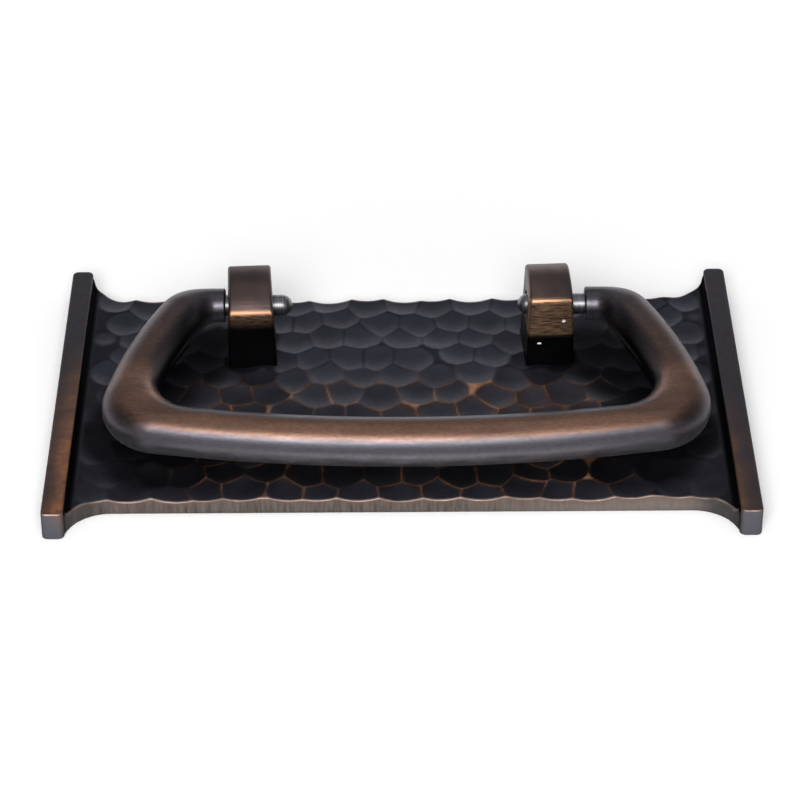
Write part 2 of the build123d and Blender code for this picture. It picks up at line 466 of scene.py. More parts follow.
def rail_bar(side):
    work = bmesh.new()
    centre = Vector((side * (rail_inner + rail_width / 2), 0, rail_height / 2))
    place = Matrix.Translation(centre) @ Matrix.Diagonal((rail_width, rail_length, rail_height, 1))
    bmesh.ops.create_cube(work, size=1, matrix=place)
    uprights = [e for e in work.edges if abs(e.verts[0].co.z - e.verts[1].co.z) > rail_height / 2]
    rounded(work, uprights, rail_corner)
    top = [e for e in work.edges if min(v.co.z for v in e.verts) > rail_height - level_within]
    rounded(work, top, rail_edge)
    scored(work, "y", np.arange(-rail_length / 2 + score_step, rail_length / 2, score_step))
    scored(work, "x", [centre.x + (share - 0.5) * rail_width for share in rail_scores])
    return piece_from(work, "rail", Matrix.Scale(mm, 4))


joined(plate, "UNION", [rail_bar(-1), rail_bar(1)])
print("plate with rails:", len(plate.data.polygons), "faces")

# %% [markdown]
# Each post stands in a pocket sunk into the field, and its round foot goes through the plate and is spread
# into a countersink at the back. Posts pushed into an uncut plate would look the same from the front, but
# the metals would overlap. So seats and holes are cut with closed tools, like on a milling machine.

# %% Seats and spigot holes
post_spacing = 64.0
post_width = 10.4
post_depth = 14.0
post_turn = math.radians(3.0)
seat_clearance = 0.1
seat_margin = 0.2
spigot_radius = 3.6
spigot_clearance = 0.04
stake_flare = 0.9
stake_height = 0.9
cut_past = 0.4
round_sides = 64
plate_smooth = 55
hinge = frame["joints"][0]
post_offset = hinge["pos_m"][1] / mm
pivot_z = hinge["pos_m"][2] / mm
seat_z = field_top - mark_depth - mark_spread - seat_margin


def turned(name, profile, place):
    """A closed round solid about an upright axis, from (radius, height) points, bottom to top."""
    angles = np.linspace(0, 2 * math.pi, round_sides, endpoint=False)
    points = [place @ Vector((r * math.cos(a), r * math.sin(a), z)) * mm for r, z in profile for a in angles]
    return piece_from(shell(points, bridged(len(profile), round_sides)), name)


def post_spot(side, z=0.0):
    return Matrix.Translation((side * post_spacing / 2, post_offset, z))


def spigot(side, clearance, top):
    """The round foot of a post with its head spread at the back, or with a clearance the hole for it."""
    neck = spigot_radius + clearance
    profile = [(neck + stake_flare, 0), (neck, stake_height), (neck, top)]
    if clearance > 0:
        profile.insert(0, (neck + stake_flare, -cut_past))
    return turned("spigot", profile, post_spot(side))


def post_place(side, z):
    return post_spot(side, z) @ Matrix.Rotation(post_turn, 4, "Z")


def seat(side):
    work = bmesh.new()
    size = (post_width + 2 * seat_clearance, post_depth + 2 * seat_clearance, rail_height, 1)
    place = post_place(side, seat_z + rail_height / 2) @ Matrix.Diagonal(size)
    bmesh.ops.create_cube(work, size=1, matrix=Matrix.Scale(mm, 4) @ place)
    return piece_from(work, "seat")


def smooth(piece, sharp_degrees):
    """Round shading, except where faces meet at more than an angle."""
    mesh = piece.data
    mesh.polygons.foreach_set("use_smooth", [True] * len(mesh.polygons))
    mesh.set_sharp_from_angle(angle=math.radians(sharp_degrees))


joined(plate, "DIFFERENCE", [seat(-1), seat(1)])
joined(plate, "DIFFERENCE", [spigot(side, spigot_clearance, rail_height) for side in (-1, 1)])
smooth(plate, plate_smooth)
print("plate:", len(plate.data.polygons), "faces")

# %% [markdown]
# Oil-rubbed bronze is dark where the oil finish stays and bright where hands and polishing have taken it
# off. Where that happens follows the shape, so it is measured on the mesh and kept with each point, as a
# share from 0 to 1: the ridges in the middle of the plate, the rails from their inner edges, and the rim,
# whose pale pink line is partly wear and partly a painted highlight.
# Painting the wear by hand would work too, but it could not follow a change of the hammer marks.

# %% Where the plate is rubbed
# A pair says where a share begins and where it is full, in mm or in another share. Measured from an
# edge, inwards is negative.
ridge_reach = 0.21
ridge_blur = 0.5
ridge_bare = (0.2, 1.05)
halo_step = (0.1, 1.0)
skin = (-0.25, -0.05)
field_fade = 1
hands_y = (-12, 2)
hands_half, hands_fade = 52, 14
left_less, left_to_right = 0.7, (-40, 20)
rail_side = (-0.1, 0.1)
rail_skin = (-0.5, -0.2)
rail_tip = (-0.6, -0.3)
rail_reach = 0.5
left_run, left_outer, left_gain, left_across = (-20, 27), 0.25, 0.85, (0.1, 0.9)
right_run, right_outer, right_gain = (-5, 40), 0.1, 0.6
rim_width = (-0.55, -0.25)
rim_skin = (-0.35, -0.1)
crest_foot, crest_top = (-0.4, -0.2), (-0.08, 0)


def between(value, low, high):
    """0 below low, 1 above high, and a smooth step in between."""
    t = np.clip((value - low) / (high - low), 0, 1)
    return t * t * (3 - 2 * t)


def keep_share(piece, name, share):
    """Store one number from 0 to 1 with each point of a mesh."""
    attribute = piece.data.attributes.new(name, "FLOAT", "POINT")
    attribute.data.foreach_set("value", np.asarray(share, dtype=np.float32))


def places_of(piece):
    """The points of a mesh in mm."""
    flat = np.empty(len(piece.data.vertices) * 3, dtype=np.float32)
    piece.data.vertices.foreach_get("co", flat)
    return flat.reshape(-1, 3).astype(float) / mm


x, y, z = places_of(plate).T
height, apart = struck(x, y)
ridge = around(x, y, ridge_blur, lambda u, v: 1 - between(struck(u, v)[1], 0, ridge_reach))
on_face = between(z - height, *skin) * between(rail_inner - field_fade - np.abs(x), 0, field_fade)
worn_zone = between(-y, *hands_y) * between(hands_half - np.abs(x), 0, hands_fade)
ridge_rub = on_face * worn_zone * between(ridge, *ridge_bare)
ridge_rub = ridge_rub * (left_less + (1 - left_less) * between(x, *left_to_right))
keep_share(plate, "ridge", ridge_rub)
keep_share(plate, "halo", on_face * worn_zone * (1 - between(apart, *halo_step)))

on_rail = between(np.abs(x) - rail_inner, *rail_side) * between(z - rail_height, *rail_skin)
towards_inside = 1 - (np.abs(x) - rail_inner) / rail_width
left_rub = between(-y, *left_run) * (left_outer + left_gain * between(towards_inside, *left_across))
right_rub = between(-y, *right_run) * (right_outer + right_gain * towards_inside**3)
rail_rub = on_rail * np.where(x < 0, left_rub, right_rub)
keep_share(plate, "rub", rail_rub)
keep_share(plate, "rail_top", on_rail)

front = np.array([half_depth(v)[0] for v in x])
at_rim = between(np.abs(y) - front, *rim_width) * (np.abs(x) < rail_inner - rail_reach)
# The rim, and the crests at the rails' front ends: partly wear, partly a painted highlight.
rim_wear_and_highlight = at_rim * between(z - height, *rim_skin)
crest_wear_and_highlight = between(z - rail_height, *crest_foot) * (1 - between(z - rail_height, *crest_top))
crest_wear_and_highlight = crest_wear_and_highlight * between(-y - rail_length / 2, *rail_tip) * (np.abs(x) > rail_inner)
keep_share(plate, "rim", np.maximum(rim_wear_and_highlight, crest_wear_and_highlight))
print("rubbed points:", int((ridge_rub > 0.5).sum()), "on ridges,", int((rail_rub > 0.5).sum()), "on rails")

# %% [markdown]
# The field is painted black where shade falls: in the corners beside the rails, in the side strips towards
# the front, on the field under the bail, and on the ridges at the back. How near a place is to the bail comes
# from a rough line through a few points under it; a ray cast up from each point would find the bail too, but
# with a hard border. The sawn edges are told from the face here as well: darker at the coves at their ends,
# paler towards the right as painted light, and warm in their upper half.

# %% Painted shade, and the sawn edges
bail_line = [(40, 18), (52, 4), (59, -14), (52, -24), (0, -25)]
bail_shade = (6, 13)
# How black the painted shade is under the grip and under the arms.
grip_shade, arm_shade, arm_start = 0.7, 0.85, (34, 40)
corner_shade = (0.8, 2.4)
strip_shade, strip_out, strip_front = 0.4, (50, 64), (-12, 24)
ridge_shade = 0.6
end_below = 0.3
# How much paler the front edge is painted towards the right, as painted light, and where.
lit_right, pale_run = 0.65, (5, 45)
warm_high, high_edge = 0.6, (-1.5, -0.6)
cove_left, cove_right, cove_run = 0.6, 0.85, (57, 65)


def from_path(x, y, path):
    """Distance of each place from a line drawn through a few points."""
    nearest = np.full(x.shape, np.inf)
    for (ax, ay), (bx, by) in zip(path, path[1:]):
        dx, dy = bx - ax, by - ay
        t = np.clip(((x - ax) * dx + (y - ay) * dy) / (dx**2 + dy**2), 0, 1)
        nearest = np.minimum(nearest, np.hypot(x - ax - t * dx, y - ay - t * dy))
    return nearest


# Painted shade: black in the corners beside the rails, in the side strips towards the front, under the bail,
# and on the ridges at the back.
below_rail = z < rail_height - rail_reach
in_corner = (1 - between(rail_inner - np.abs(x), *corner_shade)) * below_rail
front_strip = between(np.abs(x), *strip_out) * between(-y, *strip_front) * below_rail
under_bail = 1 - between(from_path(np.abs(x), y, bail_line), *bail_shade)
painted_bail_shade = under_bail * (grip_shade + (arm_shade - grip_shade) * between(np.abs(x), *arm_start))
shadowed = on_face * np.maximum(painted_bail_shade, ridge_shade * (1 - worn_zone) * ridge)
painted_shade = np.maximum(np.maximum(in_corner, strip_shade * front_strip), shadowed)
keep_share(plate, "painted_shade", painted_shade)

at_end = between(np.abs(y) - rail_length / 2, *rail_tip) * (np.abs(x) > rail_inner - rail_reach)
keep_share(plate, "rail_end", at_end * (z < rail_height - end_below))
keep_share(plate, "edge", between(np.abs(y) - front, *skin) * (z < height))
# Painted light: the front edge is paler towards the right.
keep_share(plate, "edge_lit_right", lit_right * between(x, *pale_run))
keep_share(plate, "edge_high", warm_high * between(z - height, *high_edge))
keep_share(plate, "cove", between(np.abs(x), *cove_run) * np.where(x < 0, cove_left, cove_right))
print("black points:", int((painted_shade > 0.5).sum()))

# %% [markdown]
# Every finish here is metal under layers of colour. A layer shows where a share that the mesh keeps says
# so, and clouds of noise break it up. An image could hold all that, but it would need the mesh unwrapped,
# and noise stays sharp at any distance.

# %% Layers and clouds
def blend_colour(tree, share, first, second):
    mixed = add(tree, "Mix", {0: share}, data_type="RGBA")
    for socket, value in zip((mixed.inputs[6], mixed.inputs[7]), (first, second)):
        if isinstance(value, bpy.types.NodeSocket):
            tree.links.new(value, socket)
        else:
            socket.default_value = (*value, 1.0)
    return mixed.outputs[2]


def share_of(tree, name):
    return add(tree, "Attribute", attribute_name=name).outputs["Fac"]


def layered(tree, colour, *layers):
    """Lay colours over each other, each by a share that the mesh keeps, times any further factors."""
    for name, tint, *factors in layers:
        share = sums(tree, "MULTIPLY", share_of(tree, name), *factors)
        colour = blend_colour(tree, share, colour, tint)
    return colour


def spread(tree, value, low, high):
    """Bring a value that runs from 0 to 1 into another range."""
    return add(tree, "MapRange", {0: value, 3: low, 4: high}).outputs[0]


def cloud(tree, place, scale, stretch=(1, 1, 1), detail=4.0, span=(0.35, 0.65)):
    """Noise stretched along the axes, with a span of its values spread to run from 0 to 1."""
    placed = add(tree, "Mapping", {"Vector": place, "Scale": stretch}).outputs[0]
    noise = add(tree, "TexNoise", {"Vector": placed, "Scale": scale, "Detail": detail})
    return add(tree, "MapRange", {0: noise.outputs["Fac"], 1: span[0], 2: span[1]}, clamp=True).outputs[0]


def finish(name, coat=0.0, coat_roughness=0.25):
    """An empty metal finish: its tree, its shader and its object coordinates."""
    material = bpy.data.materials.new(name)
    tree = empty_tree(material)
    shader = add(tree, "BsdfPrincipled", {"Metallic": 1.0})
    shader.inputs["Coat Weight"].default_value = coat
    shader.inputs["Coat Roughness"].default_value = coat_roughness
    add(tree, "OutputMaterial", {"Surface": shader.outputs[0]})
    return material, tree, shader, add(tree, "TexCoord").outputs["Object"]


def surface(tree, shader, colour, roughness, relief, depth):
    """Wire a colour, a roughness and a fine relief of a given depth in metres into a shader."""
    tree.links.new(colour, shader.inputs["Base Color"])
    tree.links.new(roughness, shader.inputs["Roughness"])
    raised = add(tree, "Bump", {"Height": relief, "Distance": depth, "Strength": 1.0})
    tree.links.new(raised.outputs[0], shader.inputs["Normal"])


print("shares on the plate:", [a.name for a in plate.data.attributes if a.data_type == "FLOAT"])

# %% [markdown]
# The plate's base is a blue-black metal, clouded by slow noise. Copper shows through where it is rubbed,
# in blotches, so that no ridge is bright along its whole length. One flat bronze colour would be simpler,
# but then the marks would only show by their shading. The painted shade also dims the mirror-like shine
# that any metal has at a flat angle: without that, the places painted black for shade would look grey here.

# %% Finish of the plate
# Black, for the oil finish and for painted shade.
black_oil_and_shade = (0.008, 0.008, 0.009)
oil_black = (0.044, 0.044, 0.059)
oil_blue = (0.066, 0.067, 0.091)
oil_purple = (0.056, 0.043, 0.045)
oil_brown = (0.090, 0.058, 0.048)
copper = (0.46, 0.205, 0.100)
ridge_copper = (0.66, 0.340, 0.190)
edge_grey = (0.078, 0.067, 0.063)
edge_bronze = (0.215, 0.180, 0.164)
# Painted light on the right of the front edge.
edge_lit_pale = (0.262, 0.222, 0.200)
edge_copper = (0.185, 0.118, 0.092)
cove_grey = (0.052, 0.052, 0.057)
end_grey = (0.114, 0.119, 0.137)
# Pale pink of the rim: partly worn metal, partly a painted highlight.
rim_wear_and_highlight_pink = (0.42, 0.32, 0.29)
full_shine = (0.92, 0.92, 0.92)
# Shine left where shade is painted black.
shade_shine = (0.4, 0.4, 0.4)
plate_rough = (0.50, 0.60)
grain_depth = 0.008 * mm


def plate_finish():
    material, tree, shader, place = finish("plate_bronze")
    slow = cloud(tree, place, 60.0)
    blotch = cloud(tree, place, 160.0)
    grain = cloud(tree, place, 900.0, detail=3.0, span=(0.3, 0.7))
    streaks = cloud(tree, place, 1300.0, stretch=(1, 0.05, 1), detail=3.0, span=(0.3, 0.7))
    saw = cloud(tree, place, 1400.0, stretch=(1, 0.2, 0.12), detail=3.0, span=(0.25, 0.75))
    colour = blend_colour(tree, slow, oil_black, oil_blue)
    rails = blend_colour(tree, streaks, oil_black, oil_purple)
    edges = blend_colour(tree, saw, edge_grey, edge_bronze)
    # Painted light makes the front edge paler towards the right.
    edges = layered(tree, edges, ("edge_lit_right", edge_lit_pale), ("edge_high", edge_copper), ("cove", cove_grey))
    # Painted shade: the field turns black where its shade share says so.
    colour = layered(tree, colour, ("halo", oil_brown, slow), ("painted_shade", black_oil_and_shade), ("rail_top", rails))
    colour = layered(tree, colour, ("edge", edges), ("rail_end", end_grey))
    patchy = spread(tree, blotch, 0.12, 1.0)
    mottled = spread(tree, blotch, 0.4, 1.0)
    fine = spread(tree, grain, 0.55, 1.0)
    colour = layered(tree, colour, ("rub", copper, mottled, fine), ("ridge", ridge_copper, patchy, fine))
    # Partly wear, partly a painted highlight along the rim and the crests.
    colour = layered(tree, colour, ("rim", rim_wear_and_highlight_pink, patchy))
    # Painted shade also dims the metal's shine at a flat angle.
    shine = blend_colour(tree, share_of(tree, "painted_shade"), full_shine, shade_shine)
    tree.links.new(shine, shader.inputs["Specular Tint"])
    surface(tree, shader, colour, spread(tree, grain, *plate_rough), grain, grain_depth)
    return material


def dress(piece, material):
    piece.data.materials.clear()
    piece.data.materials.append(material)


dress(plate, plate_finish())
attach(plate, "plate")
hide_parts("backplate")
print("plate finish:", plate.data.materials[0].name)

# %% [markdown]
# A post is a block with a little draft on its sides and a crowned top, ground off at the front, the left
# one lower than the right one. A scaled cube would be quicker, but its top would be flat. So each block is
# drawn as its side outline, with the crown as an arc, given width, and bevelled so its edges catch light.

# %% Post blocks
post_draft = math.tan(math.radians(2.0))
back_shoulder = 6.2
front_shoulders = {-1: 2.0, 1: 4.9}
post_crown = 2.0
post_edge = 0.6
post_score = 0.6
keen_angle = math.radians(25)
crown_steps = 14


def crown_arc(front, back, rise):
    """Points of an arc from the front shoulder to the back one, bulging up."""
    chord = back - front
    middle = (front + back) / 2
    normal = Vector((-chord.y, chord.x)).normalized()
    radius = (chord.length**2 / 4 + rise**2) / (2 * rise)
    centre = middle + normal * (rise - radius)
    half = math.asin(chord.length / 2 / radius)
    lean = math.atan2(normal.y, normal.x)
    angles = np.linspace(lean + half, lean - half, crown_steps + 1)
    return [centre + radius * Vector((math.cos(a), math.sin(a))) for a in angles]


def post_block(side):
    foot = seat_z - pivot_z
    half = post_depth / 2
    shoulder = front_shoulders[side]
    front = Vector((-half + (shoulder - foot) * post_draft, shoulder))
    back = Vector((half - (back_shoulder - foot) * post_draft, back_shoulder))
    outline = [Vector((-half, foot)), *crown_arc(front, back, post_crown), Vector((half, foot))]
    points = []
    for flank in (-1, 1):
        for p in outline:
            points.append((flank * (post_width / 2 - (p.y - foot) * post_draft), p.x, p.y))
    work = shell(points, bridged(2, len(outline)))
    keen = [e for e in work.edges if e.calc_face_angle() > keen_angle]
    keen = [e for e in keen if max(v.co.z for v in e.verts) > foot + post_edge]
    rounded(work, keen, post_edge)
    scored(work, "z", np.arange(foot + post_score, shoulder + post_crown, post_score))
    name = {-1: "left_post", 1: "right_post"}[side]
    return piece_from(work, name, Matrix.Scale(mm, 4) @ post_place(side, pivot_z))


posts = {side: post_block(side) for side in (-1, 1)}
print("post blocks:", [len(p.data.polygons) for p in posts.values()], "faces")

# %% [markdown]
# Each block then gets its round foot, a cross bore that is wider than the pin, so the bail hangs loose,
# and the screw hole from behind. They could be left out of one picture, but the pull is seen from other
# sides too. The shares for the finish follow from the height of the front shoulder: the brown crown above
# it, a rubbed line along it, and the band below that was filed down to brass.

# %% Holes and wear of the posts
foot_overlap = 1.0
screw_radius = 1.65
screw_depth = 8.5
pin_radius = 2.25
bore_clearance = 0.9
pin_running = 0.05
bore_radius = pin_radius + bore_clearance / 2
bore_z = pivot_z + bore_clearance / 2 - pin_running
post_smooth = 40
brass_bands = {-1: 2.2, 1: 8.4}
brass_fades = {-1: 1.8, 1: 0.5}
brass_shares = {-1: 0.75, 1: 0.95}
front_skin = (-1.3, -0.9)
brass_top = (-0.6, -0.1)
crown_edge = (-0.3, 0.2)
line_below, line_above = (-0.6, 0), (-1.0, -0.2)


def cross_bore(side):
    place = post_spot(side, bore_z) @ Matrix.Rotation(math.pi / 2, 4, "Y")
    return turned("bore", [(bore_radius, -post_width), (bore_radius, post_width)], place)


def screw_hole(side):
    return turned("screw_hole", [(screw_radius, -cut_past), (screw_radius, screw_depth)], post_spot(side))


def wear_post(side):
    """Keep the shares for a post's finish with its points."""
    _, y, z = places_of(posts[side]).T
    crease = pivot_z + front_shoulders[side]
    band_end = crease - brass_bands[side]
    band = between(z, band_end - brass_fades[side], band_end + brass_fades[side])
    on_front = between(post_offset - y - post_depth / 2, *front_skin)
    bare = brass_shares[side] * on_front * band * between(crease - z, *brass_top)
    keep_share(posts[side], "brass", bare)
    keep_share(posts[side], "front", on_front)
    keep_share(posts[side], "crown", between(z - crease, *crown_edge))
    line = between(z - crease, *line_below) * between(crease - z, *line_above)
    keep_share(posts[side], "rub", line * on_front)


for side in (-1, 1):
    joined(posts[side], "UNION", [spigot(side, 0.0, seat_z + foot_overlap)])
    joined(posts[side], "DIFFERENCE", [cross_bore(side)])
    joined(posts[side], "DIFFERENCE", [screw_hole(side)])
    smooth(posts[side], post_smooth)
    wear_post(side)
print("posts:", [len(p.data.polygons) for p in posts.values()], "faces")

# %% [markdown]
# The crowns of the posts are brown. The front of each was dressed with a file, straight across, down to
# yellow brass, on the right post over half its height. Scratches could be modelled one by one, but fine
# streaks of noise along X do as well at this size. Two white chips sit on the right post: each is a spot
# in the colour, made ragged by the same streaks, and not metal, because metal would mirror the dark room.

# %% Finish of the posts
brass = (0.66, 0.42, 0.26)
brass_dark = (0.150, 0.092, 0.060)
crown_purple = (0.072, 0.057, 0.058)
crown_brown = (0.124, 0.086, 0.080)
line_share = 0.4
chip_white = (0.80, 0.77, 0.73)
chip_ragged = 0.4 * mm
chips = [((35.0 * mm, 0, 13.9 * mm), 0.56 * mm), ((29.9 * mm, 0, 8.5 * mm), 0.48 * mm)]
post_rough = (0.38, 0.52)
file_depth = 0.006 * mm


def chipped(tree, place, noise):
    """1 on the two chips of the right post's front, else 0."""
    flat = add(tree, "VectorMath", {0: place, 1: (1, 0, 1)}, operation="MULTIPLY").outputs[0]
    found = []
    for spot, size in chips:
        away = add(tree, "VectorMath", {0: flat, 1: spot}, operation="DISTANCE").outputs["Value"]
        ragged = sums(tree, "ADD", away, sums(tree, "MULTIPLY", noise, chip_ragged))
        found.append(sums(tree, "LESS_THAN", ragged, size))
    return sums(tree, "MULTIPLY", sums(tree, "ADD", *found), share_of(tree, "front"))


def post_finish():
    material, tree, shader, place = finish("post_bronze")
    slow = cloud(tree, place, 120.0)
    file_marks = cloud(tree, place, 5600.0, stretch=(0.06, 1, 1), detail=3.0, span=(0.32, 0.68))
    crown = blend_colour(tree, slow, crown_purple, crown_brown)
    dark = blend_colour(tree, share_of(tree, "crown"), black_oil_and_shade, crown)
    bare = blend_colour(tree, file_marks, brass_dark, brass)
    colour = layered(tree, dark, ("brass", bare), ("rub", copper, line_share))
    chip = chipped(tree, place, file_marks)
    colour = blend_colour(tree, chip, colour, chip_white)
    tree.links.new(sums(tree, "SUBTRACT", 1.0, chip), shader.inputs["Metallic"])
    surface(tree, shader, colour, spread(tree, file_marks, *post_rough), file_marks, file_depth)
    return material


post_metal = post_finish()
for side, node in ((-1, "post_left"), (1, "post_right")):
    dress(posts[side], post_metal)
    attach(posts[side], "plate")
    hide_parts(node)
print("post finish:", post_metal.name)

# %% [markdown]
# The bail is a round bar bent into a loop, thinner at its two ends. Its centre line is a chain of arcs: a
# short straight end, a shoulder, an arm that bows slowly, a corner, and a grip that bows even less. A
# curve drawn by eye would come close, but each arc has to leave the last one smoothly, so the centres are
# worked out from the radii.

# %% Line of the bail
pivot_height = pivot_z - field_top
bail_reach = 43.5
bail_rest_gap = 0.3
end_gap = 1.75
close_gap = 0.55
grip_radius = 5.1
end_wall = 1.4
end_radius = pin_radius + end_wall
end_rim = 0.4
end_straight = 1.9
arm_splay = math.radians(29.6)
shoulder_radius = 8.5
arm_bow = 91.0
grip_bow = 307.0
corner_radius = 6.7
inner_corner = 8.3
half_at_pin = post_width / 2 - (pivot_z - seat_z) * post_draft
bail_end = post_spacing / 2 + half_at_pin + end_gap
bail_shift = end_gap - close_gap
rest_tilt = math.asin((pivot_height - bail_rest_gap - grip_radius) / bail_reach)
hang = Matrix.Translation((bail_shift, post_offset, pivot_z)) @ Matrix.Rotation(rest_tilt, 4, "X")


def towards(angle):
    return Vector((math.cos(angle), math.sin(angle)))


shoulder = Vector((bail_end + end_straight, -shoulder_radius))
arm_centre = shoulder - towards(arm_splay) * (arm_bow - shoulder_radius)
grip_centre = Vector((0, grip_bow - bail_reach))


def inside_bend(radius):
    """Centre of a bend that touches the arm's and the grip's long curves, and its first and last angle."""
    apart = grip_centre - arm_centre
    along = ((arm_bow - radius) ** 2 - (grip_bow - radius) ** 2 + apart.length_squared) / (2 * apart.length)
    across = math.sqrt((arm_bow - radius) ** 2 - along**2)
    unit = apart.normalized()
    centre = arm_centre + unit * along + Vector((unit.y, -unit.x)) * across
    leaves, joins = centre - arm_centre, centre - grip_centre
    return centre, math.atan2(leaves.y, leaves.x), math.atan2(joins.y, joins.x)


print("bail tilt at rest:", round(math.degrees(rest_tilt), 1), "degrees")

# %% [markdown]
# Seen from above, the bail is fuller inside its corners than a bent bar would be: the inside follows a
# wider bend than the outside. Sculpting could fill the corners, but hardly alike on both sides. So each
# ring there has two centres, one for its inner half and one for its outer half, and rays from the inner
# bend's hub find where the outer curve lies.

# %% Rings along the bail
rim_rings = 5
straight_shares = (0.33, 0.67, 1.0)
bend_steps = 28
corner_steps = 56
grip_steps = 64
arm_wear = 0.1
corner_wear = 0.45


def hit(start, ray, centre, radius):
    """How far along a ray from inside a circle the circle lies."""
    offset = start - centre
    b = offset.dot(ray)
    return math.sqrt(max(b * b - offset.length_squared + radius * radius, 0)) - b


def full_corner():
    """Rings of the corner, as (inner, outer, outward), and the angles at which it starts and ends."""
    wide = inner_corner + grip_radius
    hub, early, late = inside_bend(wide)
    tight_hub, leaves, joins = inside_bend(corner_radius)
    rings = []
    for angle in np.linspace(early, late, corner_steps + 1)[1:]:
        ray = towards(angle)
        reach = hit(hub, ray, tight_hub, corner_radius + grip_radius)
        spot = hub + ray * reach - tight_hub
        turn = math.atan2(spot.y, spot.x)
        if turn > leaves:
            reach = hit(hub, ray, arm_centre, arm_bow + grip_radius)
        elif turn < joins:
            reach = hit(hub, ray, grip_centre, grip_bow + grip_radius)
        rings.append((hub + ray * wide, hub + ray * max(reach - grip_radius, wide), ray))
    return rings, early, late


def right_half():
    """Rings from the right end to the middle of the grip: inner, outer, outward, radius and wear."""
    rings = []
    up = Vector((0, 1))
    for angle in np.linspace(0, math.pi / 2, rim_rings):
        spot = Vector((bail_end + end_rim * (1 - math.cos(angle)), 0))
        rings.append((spot, spot, up, end_radius - end_rim * (1 - math.sin(angle)), 0.0))
    for share in straight_shares:
        spot = Vector((bail_end + end_rim + (end_straight - end_rim) * share, 0))
        rings.append((spot, spot, up, end_radius, 0.0))
    shares = np.linspace(0, 1, bend_steps + 1)[1:]
    for share in shares:
        out = towards(math.pi / 2 + (arm_splay - math.pi / 2) * share)
        swell = end_radius + (grip_radius - end_radius) * share * share * (3 - 2 * share)
        spot = shoulder + out * shoulder_radius
        rings.append((spot, spot, out, swell, arm_wear * share))
    corner, early, late = full_corner()
    for share in shares:
        out = towards(arm_splay + (early - arm_splay) * share)
        spot = arm_centre + out * arm_bow
        rings.append((spot, spot, out, grip_radius, arm_wear + (corner_wear - arm_wear) * share))
    for k, (inner, outer, out) in enumerate(corner, 1):
        rings.append((inner, outer, out, grip_radius, corner_wear + (1 - corner_wear) * k / len(corner)))
    for angle in np.linspace(late, -math.pi / 2, grip_steps + 1)[1:]:
        out = towards(angle)
        spot = grip_centre + out * grip_bow
        rings.append((spot, spot, out, grip_radius, 1.0))
    return rings


half_rings = right_half()
print("rings in the right half:", len(half_rings))

# %% [markdown]
# A curve with a bevel would make the bail in one line. A mesh swept here gives every point its place
# along the bar and round it, and the wear needs both. The sweep starts inside the right end, in the
# socket of the pin, and ends inside the left one, so the skin is closed and the sockets are hollow.

# %% Skin of the bail
pin_seat = 5.0
pin_press = 0.015
section_sides = 64
bail_smooth = 50


def whole_bail():
    """The sockets, the right half and its mirror image, as one row of rings."""
    right = []
    for x in (bail_end + pin_seat, bail_end):
        right.append((Vector((x, 0)), Vector((x, 0)), Vector((0, 1)), pin_radius + pin_press, 0.0))
    right += half_rings
    flip = Matrix(((-1, 0), (0, 1)))
    left = [(flip @ inner, flip @ outer, flip @ out, r, wear) for inner, outer, out, r, wear in right[-2::-1]]
    return right + left


def bail_mesh():
    """The bail, and for each point its outward direction, its wear and how far it faces into the loop."""
    rings = whole_bail()
    points, normals, wears, insides = [], [], [], []
    for inner, outer, out, radius, wear in rings:
        for k in range(section_sides):
            angle = 2 * math.pi * (k + 0.5) / section_sides
            normal = Vector((*(out * math.cos(angle)), math.sin(angle)))
            spot = outer if math.cos(angle) > 0 else inner
            points.append(hang @ (Vector((*spot, 0)) + normal * radius) * mm)
            normals.append(hang.to_3x3() @ normal)
            wears.append(wear)
            insides.append(-math.cos(angle))
    piece = piece_from(shell(points, bridged(len(rings), section_sides)), "bail_loop")
    return piece, np.array(normals), np.array(wears), np.array(insides)


bail, outward, wear, inside = bail_mesh()
smooth(bail, bail_smooth)
print("bail:", len(bail.data.polygons), "faces")

# %% [markdown]
# Hands polish the top of the grip most, the corners less, and the arms hardly at all, so a band of copper
# runs along the grip and fades round the corners, and the arms stay brown. The inside of the arms is painted
# black as painted shade, and has a pale parting line from the mould. The lower front of the bail is painted
# pale grey as a painted reflection of the white floor, and its ends a little lighter as a painted highlight.
# One gradient from top to bottom would be simpler, but wear also depends on the place along the bar.

# %% Where the bail is worn
# A pair says where a share begins and where it is full: of a direction, of the wear, or in mm along X.
rub_lean = math.radians(66)
grip_share, grip_band = 0.5, (0.84, 0.97)
warm_band = (0.82, 0.95)
corner_x, corner_y, corner_wide, corner_long = 54, -12, 9, 11
corner_share, corner_fade, corner_up = 0.6, (0.2, 1.0), (0.62, 0.93)
right_corner = 0.85
arm_up, arm_along, arm_until = (0.25, 0.75), (7, 17), (0.9, 1.0)
# Where the painted highlight on the ends fades out along the bar.
end_along = (2, 14)
# Where the painted shade inside the arms lies.
inner_side, inner_along, inner_until = (0.25, 0.8), (4, 9), (0.8, 1.0)
seam_side, seam_along, seam_until = (0.990, 0.998), (4, 7), (0.25, 0.4)
# Where the painted reflection of the floor lies on the lower front, and how much of it the arms get.
under_down, under_front, under_arm = (-0.2, 0.45), (0.0, 0.4), 0.6

